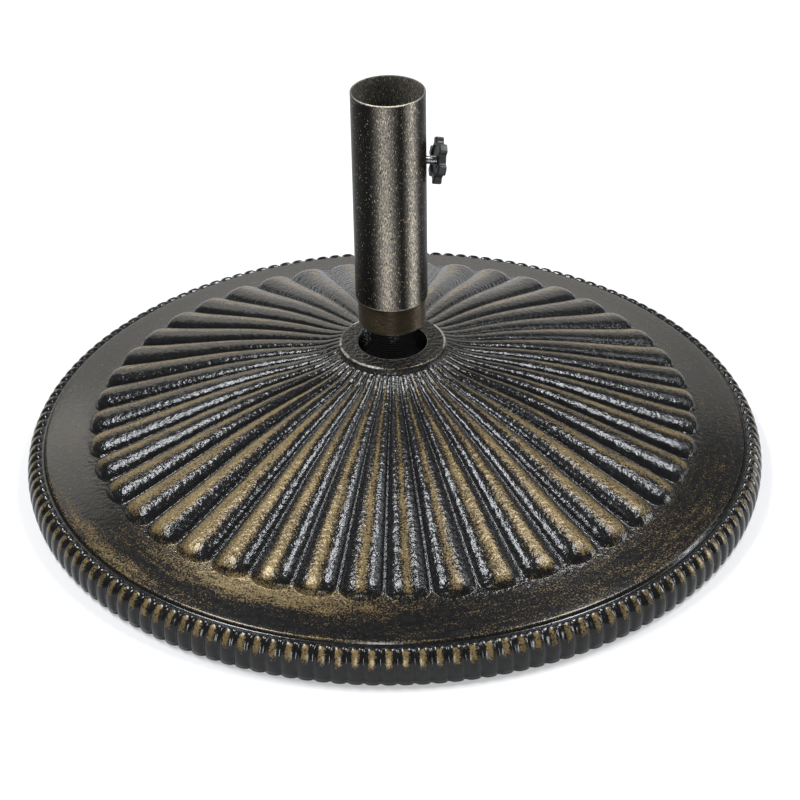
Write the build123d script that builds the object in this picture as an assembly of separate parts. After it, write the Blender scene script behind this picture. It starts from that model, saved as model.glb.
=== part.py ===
from build123d import *
import os
from math import cos, pi, radians, sin

# Parasol base: an iron casting with a fluted dome, and a clamp tube that screws into its hub.
# Millimetres. Origin on the floor at the tube's axis, +Z up, clamp screw on the +X side.
# The tube is modelled unscrewed and lifted clear of the hub, ready to be put in.

# ---- driving dimensions ----
PAD_PROUD = 1.5            # rubber pads hold the casting this far off the floor
SHELL = 6.0                # wall of the casting

RIM_R = 266.7              # outermost radius, on the crests of the rim beads
RIM_TOP_Z = 24.6           # ledge that the rim beads start from
RIM_WIDEST_Z = 11.5        # height at which the rim reaches RIM_R
RIM_SHOULDER = (263.2, 20.0)   # point on the round between the ledge and the widest place
RIM_TUCK = (265.6, 5.6)    # point on the round from the widest place down to the foot
FOOT_R = 262.4             # the foot is flat from here in to FOOT_INNER_R
FOOT_INNER_R = 258.0
UNDER_BAND = [(255.5, 14.0), (230, 21.0)]   # underside of the rim and the band
BAND_R = 252.5             # crisp outer edge of the plain band
BAND_Z = 26.8
FLUTE_END_R = 220.0        # the flutes end here and the band begins
HUB_R = 37.9
HUB_TOP_Z = 95.8
HUB_WALL = 5.1             # height of the collar above the flutes
HUB_EDGE = 0.4             # chamfer round the collar
BOSS_Z = 62.0              # lower end of the hub's threaded boss
BOSS_R = 38.9
BOSS_FLARE = (45.9, 76.0)  # the boss widens to here before it meets the dome's inside

FLUTES = 44
FLUTE_SHARE = 0.88         # flute width as a share of its pitch
FLUTE_RISE = 0.24          # flute height as a share of its width
FLUTE_SUNK = 0.3           # a flute's edges lie this far below the dome
FLUTE_ROOT = 3.0           # and its hidden underside this far
FLUTE_STATIONS = (40.5, 50, 63, 88, 126, 164, 197, 212)   # radii of a flute's full sections
BEADS = 154
BEAD_TURN = -0.8           # degrees, first bead from +X
BEAD_GROOVE_R = 1.5
BEAD_GROOVE_OUT = 0.6      # centre of a groove, outside the beads' crests

TUBE_R = 25.4              # 2 inch tube
TUBE_WALL = 1.2
TUBE_LENGTH = 155.4
TUBE_LOW_Z = 134.6         # tube's lower edge with the tube lifted
TUBE_RELIEF = 0.3          # the bore is this much wider below the sized mouth
MOUTH_LENGTH = 46.0        # sized bore that guides the pole, above the nut

THREAD_R = 23.9            # spigot thread, M48 x 1.5
THREAD_PITCH = 1.5
THREAD_DEPTH = 0.6
THREAD_LENGTH = 20.9
SPIGOT_NECK = 25.0         # length held inside the tube
SPIGOT_BORE_R = 20.5
SOCKET_R = 24.2            # inside of the hub's thread
SOCKET_MOUTH_R = 24.8
SOCKET_LEAD = 1.0          # length of the lead-in at either end of the hub's thread

SCREW_Z = 236.4            # where the clamp screw's axis leaves the tube
SCREW_DROOP = 10.0         # degrees that the screw points down, away from the tube
SCREW_R = 3.0              # M6
SCREW_HOLE_PLAY = 0.3      # the tube's hole is this much wider than the screw
SCREW_PITCH = 1.0
SCREW_TIP = 3.0            # tip stands this far inside the nut
SCREW_HEAD_R = 5.0         # knurled head moulded into the knob
SCREW_HEAD = 2.6
NUT_HEIGHT = 3.2
NUT_FLATS = 10.0

KNOB_R = 16.1
KNOB_ROOT_R = 12.5         # between the lobes
KNOB_LOBES = 6
KNOB_LOBE_W = 7.0
KNOB_GAP = 5.7             # between tube and knob along the screw
KNOB_THICK = 5.6
KNOB_RECESS_R = 10.4       # hollow in the side that faces the tube
KNOB_RECESS = 1.2
KNOB_WEB = 0.8             # plastic between the hollow and the screw's head
KNOB_EDGE = 0.5            # chamfer round both faces
KNOB_FIRST_LOBE = 32.7     # degrees from the top towards -Y

PAD_R = 11.0
PAD_THICK = 4.0
PAD_CIRCLE_R = 244.0
LUG_TOP_Z = 23.0           # the lugs run up into the shell
PAD_ANGLES = {"front_left": 225, "front_right": 315, "rear_right": 45, "rear_left": 135}

# ---- worked out ----
MOUTH_R = TUBE_R - TUBE_WALL
TUBE_BORE_R = MOUTH_R + TUBE_RELIEF
# places along the screw, from the tube's outside
NUT_FACE = -TUBE_WALL - NUT_HEIGHT
HEAD_START = KNOB_GAP + KNOB_RECESS + KNOB_WEB
FOOT_Z = PAD_PROUD         # the casting's own lowest edge

# Valley line of the dome between flutes, hub to band: radius, height
DOME = [(40, 89.0), (50, 83.8), (63, 79.8), (88, 74.0), (126, 63.6), (164, 51.2), (197, 40.3),
        (FLUTE_END_R, 33.7)]


def dome_height(r):
    """Height of the valley line at radius r, by straight runs between its points."""
    for (r0, z0), (r1, z1) in zip(DOME, DOME[1:]):
        if r <= r1:
            return z0 + (z1 - z0) * (r - r0) / (r1 - r0)
    return DOME[-1][1]


def ring_teeth(r_crest, r_root, z_low, z_high, pitch):
    """Zigzag outline of a ring-grooved thread, from z_low up to z_high."""
    count = int((z_high - z_low) / pitch)
    points = []
    for i in range(count):
        z = z_low + i * pitch
        points += [(r_crest, z + 0.1 * pitch), (r_crest, z + 0.35 * pitch),
                   (r_root, z + 0.6 * pitch), (r_root, z + 0.85 * pitch)]
    return points


def turned(points):
    """Solid of revolution about Z from an outline of (radius, height) points."""
    return revolve(make_face(Polyline(*[(r, 0, z) for r, z in points], close=True)), Axis.Z)


def base_shell():
    """Dome, hub, band and rim as one turned shell, open underneath."""
    thread = ring_teeth(SOCKET_R, SOCKET_R + THREAD_DEPTH, BOSS_Z + 2 * SOCKET_LEAD,
                        HUB_TOP_Z - 2 * SOCKET_LEAD, THREAD_PITCH)
    top = Polyline((SOCKET_MOUTH_R, 0, HUB_TOP_Z), (HUB_R - HUB_EDGE, 0, HUB_TOP_Z),
                   (HUB_R, 0, HUB_TOP_Z - HUB_EDGE), (HUB_R, 0, HUB_TOP_Z - HUB_WALL - 1),
                   (DOME[0][0], 0, DOME[0][1]))
    dome = Spline(*[(r, 0, z) for r, z in DOME])
    ledge = (BAND_R + 2.5, 0, RIM_TOP_Z)
    band = Polyline((FLUTE_END_R, 0, DOME[-1][1]), (BAND_R, 0, BAND_Z),
                    (BAND_R + 0.5, 0, RIM_TOP_Z + 0.4), ledge)
    widest, heel = (RIM_R, 0, RIM_WIDEST_Z), (FOOT_R, 0, FOOT_Z)
    rim = ThreePointArc(ledge, (RIM_SHOULDER[0], 0, RIM_SHOULDER[1]), widest)
    foot = ThreePointArc(widest, (RIM_TUCK[0], 0, RIM_TUCK[1]), heel)
    inside = UNDER_BAND + [(r, z - SHELL) for r, z in DOME[:2:-1]] + [BOSS_FLARE]
    under = Polyline(heel, (FOOT_INNER_R, 0, FOOT_Z), *[(r, 0, z) for r, z in inside],
                     (BOSS_R, 0, BOSS_Z), (SOCKET_MOUTH_R, 0, BOSS_Z))
    bore = Polyline((SOCKET_MOUTH_R, 0, BOSS_Z), (SOCKET_R, 0, BOSS_Z + SOCKET_LEAD),
                    *[(r, 0, z) for r, z in thread],
                    (SOCKET_R, 0, HUB_TOP_Z - SOCKET_LEAD), (SOCKET_MOUTH_R, 0, HUB_TOP_Z))
    outline = Wire(top.edges() + dome.edges() + band.edges() + rim.edges()
                   + foot.edges() + under.edges() + bore.edges())
    return revolve(make_face(outline), Axis.Z)


def flute_width(r):
    return 2 * pi * r / FLUTES * FLUTE_SHARE


def flute_section(r, share, rise):
    """Half-round section of a flute at radius r, with a share of its full width there. It is
    sunk a little into the dome."""
    half = flute_width(r) / 2 * share
    edge, root = dome_height(r) - FLUTE_SUNK, dome_height(r) - FLUTE_ROOT
    arc = ThreePointArc((r, -half, edge), (r, 0, dome_height(r) + rise), (r, half, edge))
    sides = Polyline((r, half, edge), (r, half * 0.7, root), (r, -half * 0.7, root),
                     (r, -half, edge))
    return Wire(arc.edges() + sides.edges())


def flute():
    """One flute along +X, narrow at the hub, full at the band and rounded off at its tip."""
    sections = [flute_section(r, 1.0, FLUTE_RISE * flute_width(r)) for r in FLUTE_STATIONS]
    full = FLUTE_RISE * flute_width(FLUTE_END_R)
    sections.append(flute_section(FLUTE_END_R - 3, 0.86, 0.78 * full))
    sections.append(flute_section(FLUTE_END_R, 0.55, 0.1 * full))
    return Solid.make_loft(sections, ruled=True)


def pad_lug(angle):
    """Round lug inside the rim with a shallow pocket for a pad."""
    x, y = PAD_CIRCLE_R * cos(radians(angle)), PAD_CIRCLE_R * sin(radians(angle))
    low = PAD_THICK - 1.0
    lug = Pos(x, y, (low + LUG_TOP_Z) / 2) * Cylinder(PAD_R + 3, LUG_TOP_Z - low)
    pocket = Pos(x, y, (low + PAD_THICK) / 2) * Cylinder(PAD_R + 0.1, PAD_THICK - low)
    return lug, pocket


def base_casting():
    body = base_shell()
    body = body + [Rot(0, 0, 360 / FLUTES * i) * flute() for i in range(FLUTES)]
    lugs = [pad_lug(angle) for angle in PAD_ANGLES.values()]
    body = body + [lug for lug, _ in lugs]
    body = body - [pocket for _, pocket in lugs]
    grooves = []
    for i in range(BEADS):
        turn = Rot(0, 0, BEAD_TURN + 360 / BEADS * (i + 0.5))
        place = turn * Pos(RIM_R + BEAD_GROOVE_OUT, 0, RIM_TOP_Z / 2)
        grooves.append(place * Cylinder(BEAD_GROOVE_R, RIM_TOP_Z + 2))
    return body - grooves


def along_screw(shape, start):
    """Moves a shape built up from Z = 0 onto the screw's axis, start past the tube's outside."""
    return Pos(TUBE_R, 0, SCREW_Z) * Rot(0, 90 + SCREW_DROOP, 0) * Pos(0, 0, start) * shape


def rod(radius, length):
    return extrude(Circle(radius), length)


def stem_tube():
    """Thin tube with a sized bore at its mouth and a hole for the clamp screw."""
    mouth_low = TUBE_LENGTH - MOUTH_LENGTH
    wall = rod(TUBE_R, TUBE_LENGTH) - rod(TUBE_BORE_R, mouth_low)
    wall = wall - Pos(0, 0, mouth_low) * rod(MOUTH_R, MOUTH_LENGTH)
    hole = along_screw(rod(SCREW_R + SCREW_HOLE_PLAY, 8), -6)
    return Pos(0, 0, TUBE_LOW_Z) * wall - hole


def threaded_spigot():
    low = TUBE_LOW_Z - THREAD_LENGTH
    thread = ring_teeth(THREAD_R, THREAD_R - THREAD_DEPTH, low + 0.8, TUBE_LOW_Z - 0.3,
                        THREAD_PITCH)
    neck_r = TUBE_BORE_R - 0.05
    return turned([(SPIGOT_BORE_R, low), (THREAD_R - 0.8, low), *thread,
                   (THREAD_R - 0.4, TUBE_LOW_Z), (neck_r, TUBE_LOW_Z),
                   (neck_r, TUBE_LOW_Z + SPIGOT_NECK), (SPIGOT_BORE_R, TUBE_LOW_Z + SPIGOT_NECK)])


def weld_nut():
    """Thin hexagon nut, its outer face curved to the tube's bore."""
    blank = extrude(RegularPolygon(NUT_FLATS / 2, 6, major_radius=False), NUT_HEIGHT + 2)
    blank = along_screw(blank, NUT_FACE)
    bore = Pos(0, 0, SCREW_Z - 20) * rod(TUBE_BORE_R - 0.02, 40)
    return (blank & bore) - along_screw(rod(SCREW_R + 0.06, 20), -15)


def clamp_screw():
    """Zinc-plated screw, its tip a little way inside the nut."""
    tip = NUT_FACE - SCREW_TIP
    head = HEAD_START - tip
    thread = ring_teeth(SCREW_R, SCREW_R - 0.5, 0.5, head - 0.4, SCREW_PITCH)
    shape = turned([(0, 0), (SCREW_R - 0.5, 0), *thread, (SCREW_R - 0.1, head),
                    (SCREW_HEAD_R, head), (SCREW_HEAD_R, head + SCREW_HEAD),
                    (0, head + SCREW_HEAD)])
    return along_screw(shape, tip)


def knob():
    """Lobed knob, hollowed on the side that faces the tube, moulded round the screw's head."""
    star = rod(KNOB_ROOT_R, KNOB_THICK)
    for i in range(KNOB_LOBES):
        arm = Pos(KNOB_R / 2, 0, KNOB_THICK / 2) * Box(KNOB_R, KNOB_LOBE_W, KNOB_THICK)
        # local X is straight down once the knob stands up, so half a turn puts it upright
        star = star + Rot(0, 0, 180 + KNOB_FIRST_LOBE + 360 / KNOB_LOBES * i) * arm
    star = star & rod(KNOB_R, KNOB_THICK)
    faces = star.faces().sort_by(Axis.Z)
    star = chamfer(faces[0].edges() + faces[-1].edges(), KNOB_EDGE)
    head = HEAD_START - KNOB_GAP
    star = star - rod(KNOB_RECESS_R, KNOB_RECESS) - rod(SCREW_R + 0.05, head)
    star = star - Pos(0, 0, head - 0.05) * rod(SCREW_HEAD_R + 0.05, SCREW_HEAD + 0.1)
    return along_screw(star, KNOB_GAP)


def foot_pad(angle):
    x, y = PAD_CIRCLE_R * cos(radians(angle)), PAD_CIRCLE_R * sin(radians(angle))
    return Pos(x, y, PAD_THICK / 2) * Cylinder(PAD_R, PAD_THICK)


os.makedirs("parts", exist_ok=True)
pieces = {
    "base_casting": base_casting(),
    "stem_tube": stem_tube(),
    "threaded_spigot": threaded_spigot(),
    "weld_nut": weld_nut(),
    "clamp_screw": clamp_screw(),
    "knob": knob(),
}
for place, angle in PAD_ANGLES.items():
    pieces[f"foot_pad_{place}"] = foot_pad(angle)
for name, shape in pieces.items():
    export_step(shape, f"parts/{name}.step")
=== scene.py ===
from math import atan2, cos, pi, radians, sin

import bmesh
import bpy
import numpy as np
from mathutils import Matrix, Vector


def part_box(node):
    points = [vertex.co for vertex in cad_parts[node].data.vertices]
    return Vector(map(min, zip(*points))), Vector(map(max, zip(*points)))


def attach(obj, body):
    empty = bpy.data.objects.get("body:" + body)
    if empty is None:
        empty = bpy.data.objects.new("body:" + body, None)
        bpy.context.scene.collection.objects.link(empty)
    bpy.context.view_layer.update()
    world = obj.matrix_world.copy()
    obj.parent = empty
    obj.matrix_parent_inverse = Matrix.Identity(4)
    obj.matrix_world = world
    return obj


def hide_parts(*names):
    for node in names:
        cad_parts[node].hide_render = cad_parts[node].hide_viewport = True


# Parasol base: iron casting with gold dry-brushing, screw-in clamp tube, star knob.
# Shapes are worked out in millimetres in the CAD frame, and piece_from turns them into metres.

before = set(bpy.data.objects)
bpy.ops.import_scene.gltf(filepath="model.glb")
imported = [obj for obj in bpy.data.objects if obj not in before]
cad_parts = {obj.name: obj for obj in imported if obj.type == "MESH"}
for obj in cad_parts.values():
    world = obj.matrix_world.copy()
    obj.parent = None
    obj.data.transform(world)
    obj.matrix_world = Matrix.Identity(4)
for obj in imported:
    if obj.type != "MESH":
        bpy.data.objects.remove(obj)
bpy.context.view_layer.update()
MM = 0.001


def node_box(name):
    """Lowest and highest corner of a CAD node, in millimetres."""
    low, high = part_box(name)
    return low / MM, high / MM


casting_low, casting_high = node_box("base_casting")
tube_low, tube_high = node_box("stem_tube")
spigot_low, spigot_high = node_box("threaded_spigot")

# ---- casting, in millimetres ----
FLUTES = 44
BEADS = 154
SAMPLES = FLUTES * 28            # round the casting: 28 to a flute, 8 to a bead
COARSE = SAMPLES // 8            # round the bore and the underside
RIM_R = casting_high.x
FOOT_Z = casting_low.z
HUB_TOP_Z = casting_high.z
HUB_R = 37.9
HUB_WALL = 5.1                   # height of the collar above the flutes
BOSS_Z = 62.0                    # lower end of the threaded boss
SHELL = 6.0                      # wall of the casting
SOCKET_R = 24.2
SOCKET_MOUTH_R = 24.8
THREAD_PITCH = 1.5
THREAD_DEPTH = 0.6
FLUTE_END_R = 220.3              # tip of each flute
FLUTE_TIP_LENGTH = 11.0          # the crest drops to the band over this
FLUTE_TIP_ROUND = 6.5            # how far the tip's sides draw back from its middle
FLUTE_HEIGHT = 7.0               # at the outer end; it shrinks with the flute's width
FLUTE_WIDTH = 0.93               # share of the pitch; the rest is the flat valley
BAND_R = 252.5                   # crisp outer edge of the plain band
BAND_Z = 26.8
RIM_MIDDLE = (255.2, 10.0)       # radius and height that the beaded rim curves round
RIM_REACH = 9.5                  # outwards from there to the grooves between beads
RIM_RISE = 14.4                  # up from there to the ledge
RIM_FALL = 20.0
BEAD_TURN = radians(-0.8)        # the first bead's place
BEAD_DEPTH = 2.0
BEAD_WIDTH = 0.86                # share of the pitch
FOOT_R = 259.0                   # inner edge of the rim's flat foot
FRONT = radians(-100)            # the side that the camera sees
# valley line of the dome, hub to band: radius, height
DOME = [(38.4, 90.2), (41, 88.6), (50, 83.8), (63, 79.8), (88, 74.0), (126, 63.6), (164, 51.2),
        (197, 40.3), (217, 34.3), (BAND_R, BAND_Z)]
# underside, rim to dome and dome to boss: radius, height
UNDER_BAND = [(256.0, 7.0), (252.0, 14.5), (240, 18.5), (230, 21.0), (215, 28.6)]
UNDER_HUB = [(HUB_R + 14, 76.6), (HUB_R + 7, 75.0), (HUB_R + 3, 70.0), (HUB_R + 1, BOSS_Z + 1),
             (HUB_R, BOSS_Z)]

# ---- tube, knob and screw, in millimetres ----
TUBE_R = tube_high.y
TUBE_WALL = 1.2
THREAD_R = 23.9
SPIGOT_BORE_R = 20.5
SCREW_Z = 236.4                  # where the screw's axis leaves the tube
SCREW_AXIS = radians(90 + 10)    # from +Z towards +X: the screw points 10 degrees down
SCREW_R = 3.0
SCREW_START = -7.4               # places along the screw, from the tube's outside
HEAD_START = 7.7
HEAD_END = 10.3
SCREW_PITCH = 1.0
KNOB_START = 5.7
KNOB_THICK = 5.6
KNOB_R = 16.1
KNOB_ROOT_R = 12.5
KNOB_LOBES = 6
KNOB_LOBE_W = 7.0
KNOB_FIRST_LOBE = radians(32.7)  # from the top towards -Y
KNOB_RECESS_R = 10.4
KNOB_RECESS = 1.2


# ================= mesh helpers =================

def smooth_curve(points, x):
    """Smooth curve through (x, y) points, by cubic pieces with slopes from their neighbours."""
    px, py = np.array(points, float).T
    slope = np.gradient(py, px)
    i = np.clip(np.searchsorted(px, x) - 1, 0, len(px) - 2)
    width = px[i + 1] - px[i]
    t = (x - px[i]) / width
    return ((1 + 2 * t) * (1 - t) ** 2 * py[i] + t * (1 - t) ** 2 * width * slope[i]
            + t * t * (3 - 2 * t) * py[i + 1] + t * t * (t - 1) * width * slope[i + 1])


def smooth_step(low, high, x):
    t = np.clip((x - low) / (high - low), 0, 1)
    return t * t * (3 - 2 * t)


def join_rings(rings, closed):
    """Vertices and faces of a skin over rings of points round an axis. Where a ring has a whole
    number of times the points of the next one, each face there has more points on that side."""
    starts, total = [], 0
    for ring in rings:
        starts.append(total)
        total += len(ring)
    faces = []
    pairs = list(zip(range(len(rings)), range(1, len(rings))))
    if closed:
        pairs.append((len(rings) - 1, 0))
    for a, b in pairs:
        na, nb = len(rings[a]), len(rings[b])
        step_a, step_b = max(na // nb, 1), max(nb // na, 1)
        for k in range(min(na, nb)):
            side_a = [starts[a] + (k * step_a + j) % na for j in range(step_a + 1)]
            side_b = [starts[b] + (k * step_b + j) % nb for j in range(step_b + 1)]
            faces.append(side_a + side_b[::-1])
    if not closed:
        faces.append([starts[0] + k for k in reversed(range(len(rings[0])))])
        faces.append([starts[-1] + k for k in range(len(rings[-1]))])
    return np.concatenate(rings), faces


def piece_from(name, points, faces, attributes=None):
    """A new smooth-shaded object from points in millimetres, with outward normals. Attributes
    are one number, or one vector, for each point."""
    mesh = bpy.data.meshes.new(name)
    mesh.from_pydata((points * MM).tolist(), [], faces)
    for key, values in (attributes or {}).items():
        kind, field = ("FLOAT", "value") if values.ndim == 1 else ("FLOAT_VECTOR", "vector")
        layer = mesh.attributes.new(key, kind, "POINT")
        layer.data.foreach_set(field, values.astype(np.float32).ravel())
    tidy = bmesh.new()
    tidy.from_mesh(mesh)
    bmesh.ops.recalc_face_normals(tidy, faces=tidy.faces)
    tidy.to_mesh(mesh)
    tidy.free()
    mesh.polygons.foreach_set("use_smooth", [True] * len(mesh.polygons))
    mesh.update()
    piece = bpy.data.objects.new(name, mesh)
    bpy.context.scene.collection.objects.link(piece)
    return piece


def circle(radius, height, count):
    """One ring about Z. radius and height are numbers, or arrays of count values."""
    turn = np.arange(count) * 2 * pi / count
    ring = np.empty((count, 3))
    ring[:, 0] = radius * np.cos(turn)
    ring[:, 1] = radius * np.sin(turn)
    ring[:, 2] = height
    return ring


def along_screw(points, start):
    """Points built up from Z = 0, laid on the screw's axis, start past the tube's outside."""
    x, y, z = points.T
    z = z + start
    return np.stack([TUBE_R + x * cos(SCREW_AXIS) + z * sin(SCREW_AXIS), y,
                     SCREW_Z - x * sin(SCREW_AXIS) + z * cos(SCREW_AXIS)], 1)


def helix(z, turn, pitch, crest, root):
    """Thread radius at height z and angle turn: flat crests and roots with sloped flanks."""
    phase = np.mod(z / pitch - turn / (2 * pi), 1)
    ramp = np.clip(np.abs(phase - 0.5) * 4 - 0.5, 0, 1)
    return crest + (root - crest) * ramp


# ================= casting =================

def flute_shape(s, u):
    """Radius and height added by the flutes at nominal radius s and place u across a flute:
    0 on the crest, -1 and 1 in the middle of the valleys."""
    across = np.clip(np.abs(u) / FLUTE_WIDTH, 0, 1)
    follow = smooth_step(196, 210, s) * (1 - smooth_step(FLUTE_END_R + 1, FLUTE_END_R + 10, s))
    radius = s - FLUTE_TIP_ROUND * follow * np.minimum(np.abs(u), 1) ** 3
    scale = np.clip(s / FLUTE_END_R, 0, 1)
    near_hub = smooth_step(38.4, 44, s)
    height = FLUTE_HEIGHT * scale * (0.55 + 0.45 * near_hub)
    section = (1 - across ** 2.3) ** 0.62
    drop = np.clip((FLUTE_END_R - s) / FLUTE_TIP_LENGTH, 0, 1)
    tip = np.sqrt(np.clip(1 - (1 - drop) ** 2, 0, 1))
    return radius, height * section * tip


def waver(turn, size, seed, count=9):
    """Slow random wandering round the casting, as hand-finished patterns leave."""
    rng = np.random.default_rng(seed)
    total = np.zeros_like(turn)
    for k in range(2, 2 + count):
        total += rng.normal() * np.cos(k * turn + rng.uniform(0, 2 * pi)) / k
    return size * total


def hump(x, centre, width):
    """1 at centre, falling to 0 either side. Angles wrap round."""
    return np.exp(-((np.mod(x - centre + pi, 2 * pi) - pi) / width) ** 2)


def dome_gold(s, u, turn):
    """Gold brushed along a flute: widest on the left and right of the front, thin at the back
    and near the hub, and a little different on every flute."""
    flute = np.round(turn * FLUTES / (2 * pi)).astype(int) % FLUTES
    uneven = np.random.default_rng(7).uniform(-0.08, 0.08, FLUTES)[flute]
    width = 0.14 + 0.22 * hump(turn, FRONT - 0.85, 0.55) + 0.24 * hump(turn, FRONT + 0.7, 0.4)
    width = (width + uneven) * smooth_step(20, 150, s)
    offset = 0.26 * np.sin(turn - FRONT)
    strong = 0.70 + 0.18 * hump(turn, FRONT - 0.35, 1.1)
    return strong * (1 - smooth_step(width - 0.2, width + 0.45, np.abs(u - offset)))


def band_gold(r, turn):
    """Gold swept over the plain band: thick at the left of the front, a few specks elsewhere."""
    inner = 0.78 * hump(turn, FRONT - 0.42, 0.5) * (1 - smooth_step(225, 245, r))
    outer = 0.55 * hump(turn, FRONT - 0.9, 0.45) * smooth_step(230, 247, r)
    thin = 0.17 + 0.17 * hump(turn, FRONT + 0.75, 0.5)
    return np.maximum(thin, np.maximum(inner, outer))


def rim_gold(t, bead, turn):
    """A short dash of gold on the upper crest of every bead."""
    dash = smooth_step(0.08, 0.20, t) * (1 - smooth_step(0.46, 0.72, t))
    seen = 0.62 + 0.32 * hump(turn, FRONT - 0.2, 1.0)
    return seen * dash * (1 - smooth_step(0.26, 0.60, np.abs(bead)))


def bore():
    """Threaded bore of the hub from below, and its mouth."""
    turn = np.arange(COARSE) * 2 * pi / COARSE
    yield circle(SOCKET_MOUTH_R, BOSS_Z, COARSE), 0, 0
    for z in np.arange(BOSS_Z + 1.5, HUB_TOP_Z - 1.2, THREAD_PITCH / 4):
        radius = helix(z, turn, THREAD_PITCH, SOCKET_R, SOCKET_R + THREAD_DEPTH)
        yield circle(radius, z, COARSE), 0, 0
    yield circle(SOCKET_R, HUB_TOP_Z - 0.9, COARSE), 0, 0
    yield circle(SOCKET_MOUTH_R - 0.15, HUB_TOP_Z - 0.35, COARSE), 0, 0
    yield circle(SOCKET_MOUTH_R + 0.2, HUB_TOP_Z, COARSE), 0.3, 0.6
    yield circle(SOCKET_MOUTH_R + 0.6, HUB_TOP_Z, COARSE), 0.1, 0.2
    yield circle(30.0, HUB_TOP_Z, COARSE), 0.12, 0.15


def hub_edge(turn):
    """Outer part of the hub's flat top, its chipped edge and its side."""
    chip = 0.25 * np.abs(waver(turn, 1.0, 3, 60))
    chipped = np.clip(0.75 + waver(turn, 1.6, 4, 60), 0.2, 1.5)
    yield circle(35.3, HUB_TOP_Z, SAMPLES), 0.2, 0.25
    yield circle(36.4, HUB_TOP_Z, SAMPLES), 0.3, 0.5 * chipped
    yield circle(HUB_R - 0.9 - chip, HUB_TOP_Z, SAMPLES), 0.4, 0.9 * chipped
    yield circle(HUB_R - 0.35 - chip * 0.7, HUB_TOP_Z - 0.12, SAMPLES), 0.5, 1.1 * chipped
    yield circle(HUB_R - 0.08, HUB_TOP_Z - 0.5 - chip * 0.6, SAMPLES), 0.4, 0.9 * chipped
    yield circle(HUB_R, HUB_TOP_Z - 1.1 - chip, SAMPLES), 0.05, 0.1
    yield circle(HUB_R + 0.1, HUB_TOP_Z - HUB_WALL + 0.8, SAMPLES), 0.0, 0.1


def dome(turn, u):
    """Fluted dome, with rings close together at the hub and where the flutes' tips round off."""
    steps = [38.3, 39.2, 40.5, 42.3, 44.5, 48, 53, 60]
    steps += list(np.arange(70, 205, 13.0))
    steps += [207, 209.6, 211.2, 212.8, 214.2, 215.4, 216.4, 217.3, 218.0, 218.6, 219.05]
    steps += [FLUTE_END_R, FLUTE_END_R + 0.5, FLUTE_END_R + 1.4, FLUTE_END_R + 4]
    for s in steps:
        radius, height = flute_shape(s, u)
        z = smooth_curve(DOME, radius) + height * (1 + waver(turn, 0.05, 5, 40))
        # Painted glints: a pale line of specks along each flat valley floor, where light catches
        # it.
        valley = smooth_step(0.88, 0.97, np.abs(u)) * (s < FLUTE_END_R)
        tip = smooth_step(FLUTE_END_R - 3.5, FLUTE_END_R, s)
        swept = band_gold(np.full(SAMPLES, s), turn) if s > FLUTE_END_R - 3 else 0.0
        gold = np.maximum(dome_gold(s, u, turn) * (1 - tip), swept * tip)
        yield circle(radius, z, SAMPLES), gold, valley * (0.5 + 0.15 * (s < 70))


def band(turn):
    """Plain band, its crisp edge with a line of gold, and the ledge below it."""
    for r in (228, 233, 238, 243, 247.5, 251.5):
        yield circle(r, smooth_curve(DOME, r), SAMPLES), band_gold(r, turn), 0.1
    edge_gold = 0.30 + 0.35 * hump(turn, FRONT - 0.4, 1.0)
    yield circle(BAND_R - 0.25, BAND_Z, SAMPLES), edge_gold, 0.15
    yield circle(BAND_R + 0.25, BAND_Z - 0.5, SAMPLES), edge_gold * 0.8, 0
    yield circle(BAND_R + 0.45, BAND_Z - 1.6, SAMPLES), 0, 0
    yield circle(BAND_R + 1.2, BAND_Z - 2.3, SAMPLES), 0, 0
    yield circle(BAND_R + 2.4, BAND_Z - 2.4, SAMPLES), 0.15, 0.2


def rim(turn, bead):
    """Beaded rim, an arc from the ledge out and down to the foot, grooved between beads. bead is
    0 on a bead's crest, and -1 and 1 in the middle of the grooves."""
    middle_r, middle_z = RIM_MIDDLE
    across = np.abs(bead)
    rounded = np.sqrt(np.clip(1 - (across / BEAD_WIDTH) ** 2.4, 0, 1))
    outline = smooth_step(0.5, 0.8, across) * (1 - smooth_step(0.82, 0.95, across))
    for t in np.concatenate([[0, 0.02, 0.05, 0.09, 0.14], np.arange(0.2, 1.0, 0.1), [1.0]]):
        a = radians(88 - 112 * t)
        if a > 0:
            r, z = middle_r + RIM_REACH * cos(a) ** 0.9, middle_z + RIM_RISE * sin(a)
        else:
            r, z = middle_r + RIM_REACH * cos(a) ** 1.2, middle_z + RIM_FALL * sin(a)
        top = min(t / 0.12, 1)
        out = BEAD_DEPTH * np.sqrt(1 - (1 - top) ** 2) * rounded
        ring = circle(r + out * max(cos(a), 0.25), z + out * max(sin(a), 0), SAMPLES)
        ring[:, 2] = np.maximum(ring[:, 2], FOOT_Z)
        yield ring, rim_gold(t, bead, turn), 0.5 * outline * (t < 0.25)
    yield circle(FOOT_R, FOOT_Z, SAMPLES), 0, 0


def underside():
    """Open underside, from the rim up under the dome to the boss. It follows the dome's valley
    line from radius 197 in to 88."""
    under_dome = [(r, z - SHELL) for r, z in DOME[7:3:-1]]
    for r, z in UNDER_BAND + under_dome + UNDER_HUB:
        yield circle(r, z, COARSE), 0, 0


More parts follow.
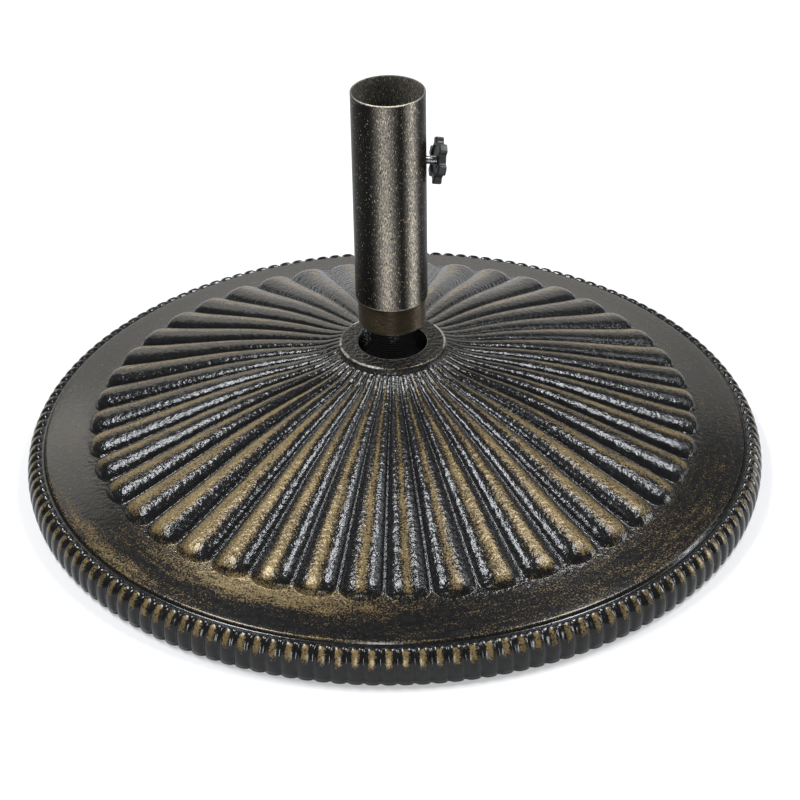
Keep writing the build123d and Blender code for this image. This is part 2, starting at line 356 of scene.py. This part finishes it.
def casting_rings():
    """Rings of the casting, from the bore's foot over the top and back under, with the share of
    gold (0 to 1) and of pale specks at each point: worn chips at edges, and painted glints along
    the flute valleys."""
    turn = np.arange(SAMPLES) * 2 * pi / SAMPLES
    u = np.mod(turn * FLUTES / (2 * pi) + 0.5, 1) * 2 - 1
    bead = np.mod((turn - BEAD_TURN) * BEADS / (2 * pi) + 0.5, 1) * 2 - 1
    rings, gold, wear_and_painted_glints = [], [], []
    for part in (bore(), hub_edge(turn), dome(turn, u), band(turn), rim(turn, bead), underside()):
        for ring, ring_gold, ring_wear_and_painted_glints in part:
            rings.append(ring)
            gold.append(np.broadcast_to(np.asarray(ring_gold, float), (len(ring),)))
            wear_and_painted_glints.append(np.broadcast_to(np.asarray(ring_wear_and_painted_glints, float), (len(ring),)))
    return rings, np.concatenate(gold), np.concatenate(wear_and_painted_glints)


def make_casting():
    rings, gold, wear_and_painted_glints = casting_rings()
    points, faces = join_rings(rings, closed=True)
    r, turn = np.hypot(points[:, 0], points[:, 1]), np.arctan2(points[:, 1], points[:, 0])
    points[:, :2] *= np.minimum(1, RIM_R / r)[:, None]
    # place for brush streaks: along the flutes on the dome, round the casting on the band
    flat = smooth_step(FLUTE_END_R, FLUTE_END_R + 3, r)
    spread = 130 - 90 * flat
    streaks = np.stack([r * (0.2 + 0.8 * flat), spread * np.cos(turn), spread * np.sin(turn)], 1)
    attributes = {"gold": gold, "wear_and_painted_glints": wear_and_painted_glints, "streaks": streaks * MM, "lumpy": 1 - 0.8 * flat}
    casting = piece_from("casting", points, faces, attributes)
    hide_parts("base_casting")
    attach(casting, "base")
    return casting


# ================= clamp tube =================

def make_tube():
    """Thin steel tube with softly rounded ends and a faint weld seam inside."""
    count = 160
    inner = TUBE_R - TUBE_WALL
    low, high = tube_low.z, tube_high.z
    middle = TUBE_R - TUBE_WALL / 2
    rings = []

    def lip(z, side):
        for a in np.linspace(0, pi, 7):
            rings.append(circle(middle + side * TUBE_WALL / 2 * cos(a),
                                z + side * TUBE_WALL / 2 * sin(a), count))

    seam = np.exp(-((np.arange(count) - count * 0.3) / 1.6) ** 2) * 0.35
    for z in np.linspace(low + 1, high - 1, 24):
        rings.append(circle(TUBE_R, z, count))
    lip(high - TUBE_WALL / 2, 1)
    for z in np.linspace(high - 2, low + 2, 24):
        rings.append(circle(inner - seam, z, count))
    lip(low + TUBE_WALL / 2, -1)
    points, faces = join_rings(rings, closed=True)
    turn = np.arctan2(points[:, 1], points[:, 0]) - FRONT
    ends = np.maximum(smooth_step(high - 0.9, high - 0.3, points[:, 2]),
                      1 - smooth_step(low + 0.3, low + 0.9, points[:, 2]))
    # Painted highlight: paler paint and more gold flecks in two upright streaks on the front of
    # the tube, where the lamps shine on it, stronger towards its foot. On the front of each end
    # it marks a pale line, partly gold rub on the lip and partly painted highlight; inside, it
    # rises a little towards the top.
    rub_and_painted_highlight = np.maximum(hump(turn, radians(-6), 0.22), hump(turn, radians(37), 0.17))
    rub_and_painted_highlight *= 1.1 - 0.3 * smooth_step(low + 30, high - 20, points[:, 2])
    outside = np.hypot(points[:, 0], points[:, 1]) > middle
    rub_and_painted_highlight = np.where(outside, rub_and_painted_highlight, 0.3 * smooth_step(high - 90, high, points[:, 2]))
    rub_and_painted_highlight = np.maximum(rub_and_painted_highlight, ends * hump(turn, 0, 0.9) * 1.6)
    tube = piece_from("clamp_tube", points, faces, {"rub_and_painted_highlight": rub_and_painted_highlight})
    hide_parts("stem_tube")
    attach(tube, "stem")
    return tube


def make_spigot():
    """Threaded steel nipple: helical thread below, plain neck inside the tube."""
    count = 160
    turn = np.arange(count) * 2 * pi / count
    low, high, edge = spigot_low.z, spigot_high.z, tube_low.z
    neck_r = TUBE_R - TUBE_WALL - 0.06
    rings = [circle(SPIGOT_BORE_R, low + 0.5, count), circle(SPIGOT_BORE_R + 0.5, low, count),
             circle(THREAD_R - 1.2, low, count), circle(THREAD_R - 0.7, low + 0.3, count)]
    for z in np.arange(low + 0.7, edge - 0.4, 0.25):
        fade = min((z - low) / THREAD_PITCH, 1)
        crest, root = THREAD_R - 0.5 * (1 - fade), THREAD_R - 0.55 * fade
        rings.append(circle(helix(z, turn, THREAD_PITCH, crest, root), z, count))
    rings += [circle(THREAD_R - 0.5, edge - 0.2, count), circle(neck_r, edge + 0.1, count),
              circle(neck_r, high - 0.8, count), circle(neck_r - 0.6, high, count),
              circle(SPIGOT_BORE_R + 0.4, high, count), circle(SPIGOT_BORE_R, high - 0.4, count)]
    points, faces = join_rings(rings, closed=True)
    spigot = piece_from("spigot", points, faces)
    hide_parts("threaded_spigot")
    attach(spigot, "stem")
    return spigot


# ================= clamp screw and knob =================

def make_screw():
    """M6 screw: chamfered tip, helical thread, knurled head inside the knob."""
    count = 48
    turn = np.arange(count) * 2 * pi / count
    length = HEAD_END - SCREW_START
    head = HEAD_START - SCREW_START
    rings = [circle(1.9, 0, count), circle(SCREW_R - 0.6, 0.3, count)]
    for z in np.arange(0.6, head - 0.3, SCREW_PITCH / 8):
        radius = helix(z, turn, SCREW_PITCH, SCREW_R - 0.05, SCREW_R - 0.5)
        rings.append(circle(radius, z, count))
    knurl = 5.0 - 0.18 * (np.arange(count) % 2)
    rings += [circle(SCREW_R - 0.2, head - 0.05, count), circle(4.7, head, count),
              circle(knurl, head + 0.3, count), circle(knurl, length - 0.3, count),
              circle(4.7, length, count)]
    points, faces = join_rings(rings, closed=False)
    screw = piece_from("screw", along_screw(points, SCREW_START), faces)
    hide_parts("clamp_screw")
    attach(screw, "knob_turning")
    return screw


def lobe_outline(inset):
    """Closed outline of the knob, seen along its axis, pulled in by inset. Lobes have straight
    sides, square ends that follow the outer circle, and rounded corners."""
    half = KNOB_LOBE_W / 2 - inset
    outer, root = KNOB_R - inset, KNOB_ROOT_R - inset
    corner, foot = 0.9, 1.2
    tip_x = (outer ** 2 - half ** 2) ** 0.5
    foot_x = (root ** 2 - half ** 2) ** 0.5
    foot_angle = atan2(half + foot * 0.8, foot_x)
    gap = 2 * pi / KNOB_LOBES - 2 * foot_angle
    one = []
    for k in range(5):
        a = -foot_angle - gap / 2 * (1 - k / 4)
        one.append((root * cos(a), root * sin(a)))
    one += [(foot_x + foot * 0.35, -half - foot * 0.3), (foot_x + foot, -half),
            ((foot_x + tip_x) / 2, -half), (tip_x - corner, -half),
            (tip_x - corner * 0.25, -half + corner * 0.28)]
    edge = atan2(half - corner, outer)
    one += [(outer * cos(a), outer * sin(a)) for a in np.linspace(-edge, 0, 4)]
    mirrored = [(x, -y) for x, y in reversed(one[1:-1])]
    outline = []
    for i in range(KNOB_LOBES):
        a = pi + KNOB_FIRST_LOBE + 2 * pi / KNOB_LOBES * i
        for x, y in one + mirrored:
            outline.append((x * cos(a) - y * sin(a), x * sin(a) + y * cos(a)))
    return np.array(outline)


def make_knob():
    """Moulded star knob: rounded lobes, hollow back with a boss round the screw, dished front."""
    thick = KNOB_THICK
    angles = np.arctan2(*lobe_outline(0).T[::-1])

    def star(inset, z):
        ring = np.empty((len(angles), 3))
        ring[:, :2] = lobe_outline(inset)
        ring[:, 2] = z
        return ring

    def disc(radius, z):
        return np.stack([radius * np.cos(angles), radius * np.sin(angles),
                         np.full(len(angles), z)], 1)

    rings = [disc(SCREW_R + 0.1, KNOB_RECESS + 0.9), disc(SCREW_R + 0.1, KNOB_RECESS),
             disc(4.6, KNOB_RECESS - 0.05), disc(5.0, KNOB_RECESS + 0.3),
             disc(9.6, KNOB_RECESS + 0.25), disc(KNOB_RECESS_R - 0.1, KNOB_RECESS - 0.3),
             disc(KNOB_RECESS_R, 0.4), disc(KNOB_RECESS_R + 0.4, 0.03), disc(11.4, 0.0)]
    rings += [star(0.75, 0.06), star(0.32, 0.16), star(0.08, 0.45), star(0.0, 0.9)]
    rings += [star(0.0, thick - 1.0), star(0.1, thick - 0.5), star(0.38, thick - 0.16),
              star(0.9, thick - 0.04)]
    rings += [disc(11.0, thick), disc(10.2, thick - 0.05), disc(9.8, thick - 0.5),
              disc(6.0, thick - 0.62), disc(2.5, thick - 0.55)]
    points, faces = join_rings(rings, closed=False)
    knob = piece_from("star_knob", along_screw(points, KNOB_START), faces)
    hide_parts("knob")
    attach(knob, "knob_turning")
    return knob


casting = make_casting()
tube = make_tube()
spigot = make_spigot()
screw = make_screw()
knob = make_knob()


# ================= materials =================

class Nodes:
    """Short way to write a shader graph."""

    def __init__(self, name):
        self.material = bpy.data.materials.new(name)
        self.material.use_nodes = True
        self.tree = self.material.node_tree
        self.shader = self.tree.nodes["Principled BSDF"]
        self.place = self.add("ShaderNodeTexCoord").outputs["Object"]

    def add(self, kind, **settings):
        node = self.tree.nodes.new(kind)
        for key, value in settings.items():
            setattr(node, key, value)
        return node

    def put(self, value, socket):
        """Links an output to a socket, or sets a constant on it."""
        if hasattr(value, "is_output"):
            self.tree.links.new(value, socket)
        else:
            socket.default_value = value

    def set(self, **values):
        names = {"color": "Base Color", "roughness": "Roughness", "metallic": "Metallic",
                 "normal": "Normal", "ior": "IOR"}
        for key, value in values.items():
            self.put(value, self.shader.inputs[names[key]])

    def stretched(self, x, y, z):
        node = self.add("ShaderNodeMapping")
        self.put(self.place, node.inputs["Vector"])
        node.inputs["Scale"].default_value = (x, y, z)
        return node.outputs["Vector"]

    def noise(self, size, detail=2.0, rough=0.5, vector=None):
        """Noise whose lumps are about size metres across."""
        node = self.add("ShaderNodeTexNoise")
        self.put(vector or self.place, node.inputs["Vector"])
        node.inputs["Scale"].default_value = 1 / size
        node.inputs["Detail"].default_value = detail
        node.inputs["Roughness"].default_value = rough
        return node.outputs["Fac"]

    def value(self, attribute, output="Fac"):
        return self.add("ShaderNodeAttribute", attribute_name=attribute).outputs[output]

    def ramp(self, value, low, high, to_low=0.0, to_high=1.0):
        node = self.add("ShaderNodeMapRange", interpolation_type="SMOOTHSTEP")
        self.put(value, node.inputs["Value"])
        for key, number in (("From Min", low), ("From Max", high), ("To Min", to_low),
                            ("To Max", to_high)):
            self.put(number, node.inputs[key])
        return node.outputs["Result"]

    def math(self, kind, a, b=0.0):
        node = self.add("ShaderNodeMath", operation=kind)
        self.put(a, node.inputs[0])
        self.put(b, node.inputs[1])
        return node.outputs[0]

    def mix(self, share, a, b):
        node = self.add("ShaderNodeMix", data_type="RGBA")
        self.put(share, node.inputs["Factor"])
        self.put((*a, 1) if isinstance(a, tuple) else a, node.inputs["A"])
        self.put((*b, 1) if isinstance(b, tuple) else b, node.inputs["B"])
        return node.outputs["Result"]

    def bump(self, height, depth):
        """Bump where a change of 1 in height is worth depth metres."""
        node = self.add("ShaderNodeBump")
        node.inputs["Distance"].default_value = depth
        self.put(height, node.inputs["Height"])
        return node.outputs["Normal"]


def iron_material():
    """Black paint over cast grain, with antique gold dry-brushed on what stands up."""
    n = Nodes("cast_iron_paint")
    grain = n.noise(0.0011, 3, 0.6)
    hammer = n.noise(0.0032, 3, 0.5)
    rough = n.math("SUBTRACT", grain, 0.5)
    cover = n.math("MULTIPLY", rough, 2.4)
    streaks = n.noise(0.004, 3, 0.6, n.value("streaks", "Vector"))
    cover = n.math("ADD", cover, n.math("SUBTRACT", streaks, 0.5))
    cover = n.math("ADD", cover, n.value("gold"))
    gold = n.ramp(cover, 0.45, 0.57)
    # Pale specks: worn chips at the edges, and painted glints along the flute valleys.
    chips_and_painted_glints = n.ramp(n.math("ADD", n.math("MULTIPLY", rough, 1.8), n.value("wear_and_painted_glints")), 0.5, 1.0)
    dark = n.mix(n.ramp(hammer, 0.35, 0.7), (0.004, 0.004, 0.0045), (0.008, 0.008, 0.0075))
    dark = n.mix(chips_and_painted_glints, dark, (0.30, 0.29, 0.26))
    bright = n.mix(n.ramp(cover, 0.5, 1.1), (0.055, 0.036, 0.014), (0.165, 0.121, 0.054))
    n.set(color=n.mix(gold, dark, bright), metallic=n.math("MULTIPLY", gold, 0.3),
          roughness=n.ramp(gold, 0, 1, 0.18, 0.32), ior=1.36)
    lumps = n.math("MULTIPLY", n.math("SUBTRACT", hammer, 0.5), n.value("lumpy"))
    n.set(normal=n.bump(lumps, 0.00065))
    return n.material


def tube_material():
    """Glossy black-brown paint with fine gold flecks drawn out along the tube."""
    n = Nodes("tube_paint")
    grain = n.noise(0.00042, 2, 0.6, n.stretched(1, 1, 0.22))
    rub_and_painted_highlight = n.value("rub_and_painted_highlight")
    cover = n.math("MULTIPLY", n.math("SUBTRACT", grain, 0.5), 2.6)
    # Painted highlight: more flecks in the tube's two streaks.
    cover = n.math("ADD", cover, n.math("MULTIPLY", rub_and_painted_highlight, 0.28))
    flecks = n.ramp(cover, 0.46, 0.60)
    # Painted highlight: a pale glare colour in the streaks, broken up by the grain.
    painted_glare = n.math("MULTIPLY", rub_and_painted_highlight, n.ramp(grain, 0.25, 0.6))
    dark = n.mix(painted_glare, (0.004, 0.0035, 0.003), (0.35, 0.325, 0.28))
    n.set(color=n.mix(flecks, dark, (0.85, 0.69, 0.48)),
          roughness=n.ramp(flecks, 0, 1, 0.3, 0.45), metallic=n.math("MULTIPLY", flecks, 0.2),
          ior=1.12)
    n.set(normal=n.bump(grain, 0.000012))
    return n.material


def steel_material():
    """Dark bronzed steel with fine turning marks."""
    n = Nodes("dark_steel")
    turned = n.noise(0.0008, 3, 0.6, n.stretched(0.05, 0.05, 1))
    mottle = n.noise(0.006, 3)
    n.set(color=n.mix(mottle, (0.022, 0.016, 0.008), (0.055, 0.04, 0.02)), metallic=0.7,
          roughness=n.ramp(turned, 0.3, 0.7, 0.3, 0.46))
    n.set(normal=n.bump(turned, 0.00004))
    return n.material


def zinc_material():
    n = Nodes("zinc_plate")
    cloud = n.noise(0.002, 3)
    n.set(color=n.mix(cloud, (0.38, 0.39, 0.40), (0.60, 0.60, 0.59)), metallic=1.0,
          roughness=n.ramp(cloud, 0.3, 0.7, 0.2, 0.38))
    return n.material


def plastic_material():
    n = Nodes("knob_plastic")
    grain = n.noise(0.0005, 2)
    scuff = n.noise(0.004, 4, 0.6)
    n.set(color=n.mix(n.ramp(scuff, 0.4, 0.8), (0.012, 0.012, 0.013), (0.03, 0.03, 0.03)),
          roughness=n.ramp(scuff, 0.3, 0.7, 0.42, 0.6), normal=n.bump(grain, 0.00003))
    return n.material


def rubber_material():
    n = Nodes("pad_rubber")
    dust = n.noise(0.003, 3)
    n.set(color=n.mix(dust, (0.015, 0.015, 0.015), (0.05, 0.048, 0.045)), roughness=0.85,
          normal=n.bump(dust, 0.00005))
    return n.material


steel = steel_material()
rubber = rubber_material()
for piece, material in ((casting, iron_material()), (tube, tube_material()), (spigot, steel),
                        (screw, zinc_material()), (knob, plastic_material()),
                        (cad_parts["weld_nut"], steel)):
    piece.data.materials.clear()
    piece.data.materials.append(material)
for name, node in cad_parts.items():
    if name.startswith("foot_pad"):
        node.data.materials.clear()
        node.data.materials.append(rubber)


# ================= studio =================

COOL, WARM = (0.93, 0.96, 1.0), (1.0, 0.97, 0.9)
FLOOR_SIZE = 6.0                 # half its side, in metres
FLOOR_GLOW = 0.38                # light table under the object, so that its shadow stays faint
ROOM_LIGHT = 0.15


def floor_material():
    n = Nodes("studio_floor")
    n.set(color=(0.38, 0.38, 0.38, 1), roughness=0.9)
    n.shader.inputs["Emission Color"].default_value = (1, 1, 1, 1)
    n.shader.inputs["Emission Strength"].default_value = FLOOR_GLOW
    return n.material


def make_floor():
    half = FLOOR_SIZE
    corners = np.array([(-half, -half, 0), (half, -half, 0), (half, half, 0), (-half, half, 0)])
    floor = piece_from("floor", corners / MM, [(0, 1, 2, 3)])
    floor.data.materials.append(floor_material())


def softbox(name, place, width, height, power, color=COOL, aim_height=0.0):
    """Rectangular area lamp at place, facing the tube's axis at aim_height, in metres."""
    lamp = bpy.data.lights.new(name, "AREA")
    lamp.shape = "RECTANGLE"
    lamp.size, lamp.size_y = width, height
    lamp.energy = power
    lamp.color = color
    holder = bpy.data.objects.new(name, lamp)
    holder.location = place
    holder.rotation_mode = "QUATERNION"
    aim = Vector((0, 0, aim_height)) - Vector(place)
    holder.rotation_quaternion = aim.to_track_quat("-Z", "Y")
    bpy.context.scene.collection.objects.link(holder)


def make_camera():
    """Camera in front of the base, a little to its left, looking down at the hub. Lengths are in
    metres: back from the axis, and up from the band."""
    around = radians(-10)
    back, up, band = 1.310, 0.863, BAND_Z * MM
    pitch, yaw, roll = radians(32.8), radians(0.2), radians(1.0)
    forward = Vector((sin(yaw) * cos(pitch), cos(yaw) * cos(pitch), -sin(pitch)))
    right = Vector((cos(yaw), -sin(yaw), 0))
    down = forward.cross(right)
    right, down = cos(roll) * right + sin(roll) * down, cos(roll) * down - sin(roll) * right
    turn = Matrix.Rotation(around, 4, "Z")
    axes = Matrix((right, -down, -forward)).transposed().to_4x4()
    camera = bpy.data.objects.new("camera", bpy.data.cameras.new("camera"))
    camera.matrix_world = turn @ Matrix.Translation((0, -back, band + up)) @ axes
    camera.data.lens = 96.7
    camera.data.sensor_width = 36
    bpy.context.scene.collection.objects.link(camera)
    bpy.context.scene.camera = camera


def make_studio():
    make_floor()
    # overhead, for the glints along the flutes
    softbox("over_left", (-0.69, 0.1, 1.5), 0.85, 0.26, 33)
    softbox("over_right", (0.72, 0.0, 1.5), 0.7, 0.26, 26)
    softbox("key_right", (1.2, 0.2, 1.0), 0.4, 0.4, 3)
    # behind, mirrored in the band and in the rear flutes
    softbox("back_card", (0.3, 1.9, 0.6), 2.8, 1.0, 7, WARM)
    softbox("back_left_card", (-0.35, 1.5, 0.95), 0.9, 0.55, 3, WARM)
    # upright, for the streaks on the tube
    softbox("strip_front", (-0.3, -1.1, 0.25), 0.14, 0.5, 5, aim_height=0.15)
    softbox("strip_right", (1.2, -0.25, 0.25), 0.14, 0.5, 5, aim_height=0.15)
    world = bpy.data.worlds.new("studio")
    world.use_nodes = True
    world.node_tree.nodes["Background"].inputs["Color"].default_value = (1, 1, 1, 1)
    world.node_tree.nodes["Background"].inputs["Strength"].default_value = ROOM_LIGHT
    bpy.context.scene.world = world
    bpy.context.scene.view_settings.view_transform = "Standard"
    make_camera()


make_studio()
